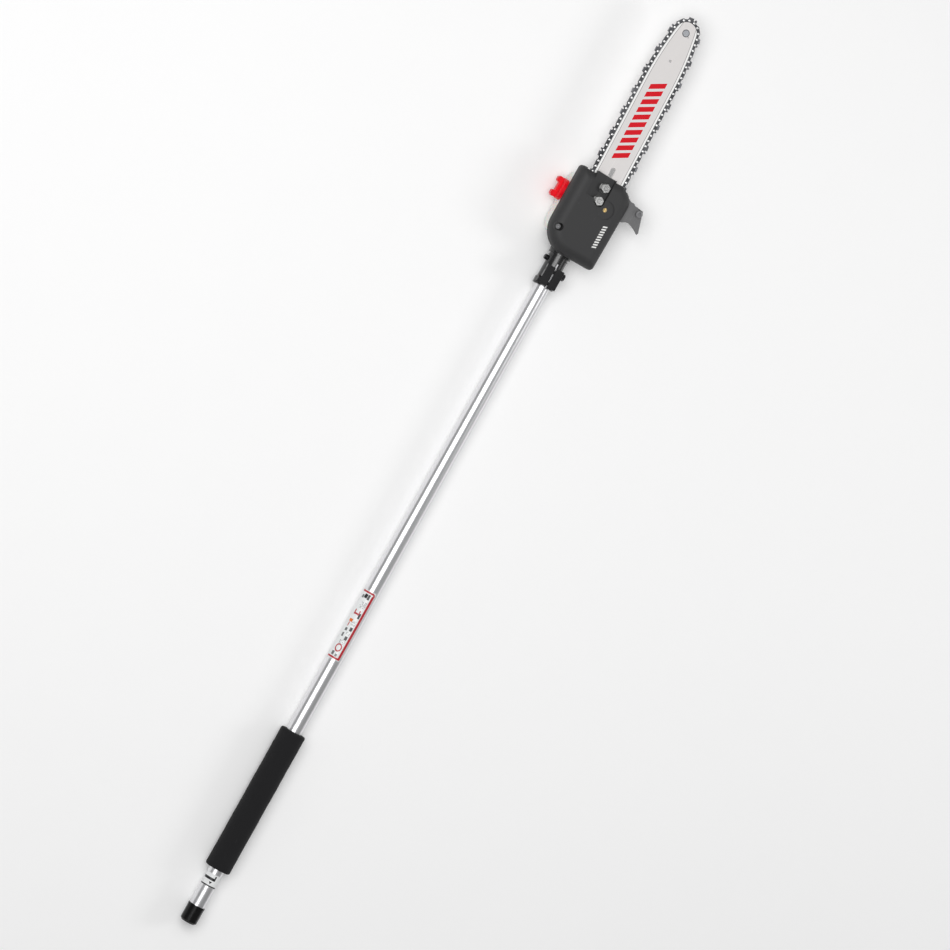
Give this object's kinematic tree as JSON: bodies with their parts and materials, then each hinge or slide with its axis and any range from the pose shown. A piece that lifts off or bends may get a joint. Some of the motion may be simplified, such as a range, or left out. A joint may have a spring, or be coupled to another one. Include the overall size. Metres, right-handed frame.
{
  "type": "pole pruner attachment",
  "caption": "Pole saw attachment: aluminium drive tube with foam grip, clamp adaptor, gear head under a black cover, guide bar with saw chain, oil tank with cap and branch hook.",
  "frame": {"origin": "centre of the drive tube's lower end, where the power head's coupler seats", "axes": "+X along the pole towards the guide bar; +Z out of the sprocket cover; +Y towards the oil cap"},
  "size_m": [1.6697, 0.1552, 0.075],
  "materials": {
    "black_nylon": "satin moulded nylon",
    "cap_vinyl": "glossy dipped vinyl",
    "foil": "printed foil, satin",
    "foam": "closed-cell foam, matt",
    "tube_aluminium": "drawn and clear anodised",
    "bush_plastic": "natural acetal",
    "shaft_steel": "ground and oiled",
    "clamp_paint": "glossy black paint on die-cast alloy",
    "case_paint": "satin black paint on die-cast alloy",
    "zinc_steel": "bright zinc plate",
    "black_steel": "black oxide",
    "bar_steel": "ground and lacquered plate",
    "chain_steel": "polished and oiled",
    "cutter_chrome": "hard chrome",
    "cover_nylon": "fine-grained glass-filled nylon",
    "brass": "turned brass",
    "tank_plastic": "translucent polyethylene",
    "cap_plastic": "glossy red polypropylene",
    "gasket": "soft nitrile",
    "oil_hose": "oil-proof rubber",
    "filter": "sintered filter",
    "hook_paint": "textured grey paint on steel"
  },
  "bodies": {
    "frame": {"insertion_decal": "foil", "foam_grip": "foam", "tube_label": "foil", "drive_tube": "tube_aluminium", "shaft_bushes": "bush_plastic", "clamp_adaptor": "clamp_paint", "pinch_bolts": "black_steel", "locating_screw": "black_steel", "gear_case": "case_paint", "pinion_bearings": "shaft_steel", "pinion_snap_ring": "black_steel", "lower_bearing": "shaft_steel", "upper_bearing": "shaft_steel", "upper_snap_ring": "black_steel", "oil_pump": "brass", "oil_line": "oil_hose", "oil_filter": "filter", "drive_links": "chain_steel", "tie_straps": "chain_steel", "cutters": "cutter_chrome", "chain_rivets": "zinc_steel", "guide_plate_inner": "zinc_steel", "guide_plate_outer": "zinc_steel", "bar_studs": "zinc_steel", "bar_nuts": "zinc_steel", "sprocket_cover": "cover_nylon", "cover_screw": "black_steel", "tension_bracket": "zinc_steel", "oil_tank": "tank_plastic", "tank_screws": "zinc_steel", "branch_hook": "hook_paint", "hook_screw": "black_steel"},
    "end_cap": {"end_cap": "cap_vinyl"},
    "drive_line": {"drive_shaft": "shaft_steel", "bevel_pinion": "shaft_steel"},
    "sprocket_spindle": {"sprocket_shaft": "shaft_steel", "bevel_gear": "shaft_steel", "pump_drive_gear": "brass", "drive_sprocket": "shaft_steel", "sprocket_clip": "black_steel"},
    "pump_rotor": {"pump_gear": "black_nylon"},
    "guide_bar": {"bar_plate_lower": "bar_steel", "bar_core": "bar_steel", "bar_plate_upper": "bar_steel", "nose_rivet": "bar_steel"},
    "nose_wheel": {"nose_sprocket": "shaft_steel"},
    "tension_screw": {"tension_screw": "brass"},
    "tension_rod": {"tension_rod": "zinc_steel"},
    "tension_pin": {"tension_pin": "zinc_steel"},
    "oil_cap_gasket": {"oil_cap_gasket": "gasket"},
    "oil_cap": {"oil_cap": "cap_plastic"}
  },
  "joints": [
    {"name": "end_cap_pull", "type": "slide", "parent": "frame", "child": "end_cap", "axis": [-1, 0, 0], "range_m": [0, 0.04]},
    {"name": "spindle_spin", "type": "hinge", "parent": "frame", "child": "sprocket_spindle", "pos_m": [1.2845, 0, 0], "axis": [0, 0, 1], "continuous": true},
    {"name": "drive_line_spin", "type": "hinge", "parent": "frame", "child": "drive_line", "pos_m": [1, 0, 0], "axis": [1, 0, 0], "continuous": true},
    {"name": "pump_spin", "type": "hinge", "parent": "frame", "child": "pump_rotor", "pos_m": [1.3095, 0, 0.02], "axis": [0, 0, 1], "continuous": true},
    {"name": "nose_spin", "type": "hinge", "parent": "guide_bar", "child": "nose_wheel", "pos_m": [1.63972, 0.00769, 0.0335], "axis": [0, 0, 1], "continuous": true},
    {"name": "tension_turn", "type": "hinge", "parent": "frame", "child": "tension_screw", "pos_m": [1.32753, -0.01477, 0.045], "axis": [0, 0, 1], "range_deg": [0, 1081]},
    {"name": "tension_rod_spin", "type": "hinge", "parent": "frame", "child": "tension_rod", "pos_m": [1.32753, -0.01477, 0.0405], "axis": [0.9998, 0.0216, 0], "range_deg": [-1081, 0]},
    {"name": "tension_pin_slide", "type": "slide", "parent": "frame", "child": "tension_pin", "axis": [0.9998, 0.0216, 0], "range_m": [-0.00241, 0]},
    {"name": "bar_slide", "type": "slide", "parent": "frame", "child": "guide_bar", "axis": [0.9998, 0.0216, 0], "range_m": [-0.0024, 0]},
    {"name": "oil_cap_lift", "type": "slide", "parent": "frame", "child": "oil_cap_gasket", "axis": [0, 1, 0], "range_m": [0, 0.00601]},
    {"name": "oil_cap_turn", "type": "hinge", "parent": "oil_cap_gasket", "child": "oil_cap", "pos_m": [1.325, 0.05, 0], "axis": [0, 1, 0], "range_deg": [0, 720]}
  ],
  "couplings": [
    {"joint": "drive_line_spin", "follows": "spindle_spin", "ratio": 1.3077},
    {"joint": "pump_spin", "follows": "spindle_spin", "ratio": -0.78571},
    {"joint": "nose_spin", "follows": "spindle_spin", "ratio": 0.85714},
    {"joint": "tension_turn", "follows": "bar_slide", "rad_per_m": -7854},
    {"joint": "tension_rod_spin", "follows": "bar_slide", "rad_per_m": 7854},
    {"joint": "tension_pin_slide", "follows": "bar_slide", "ratio": 1},
    {"joint": "oil_cap_lift", "follows": "oil_cap_turn", "m_per_rad": 0.00047746}
  ]
}
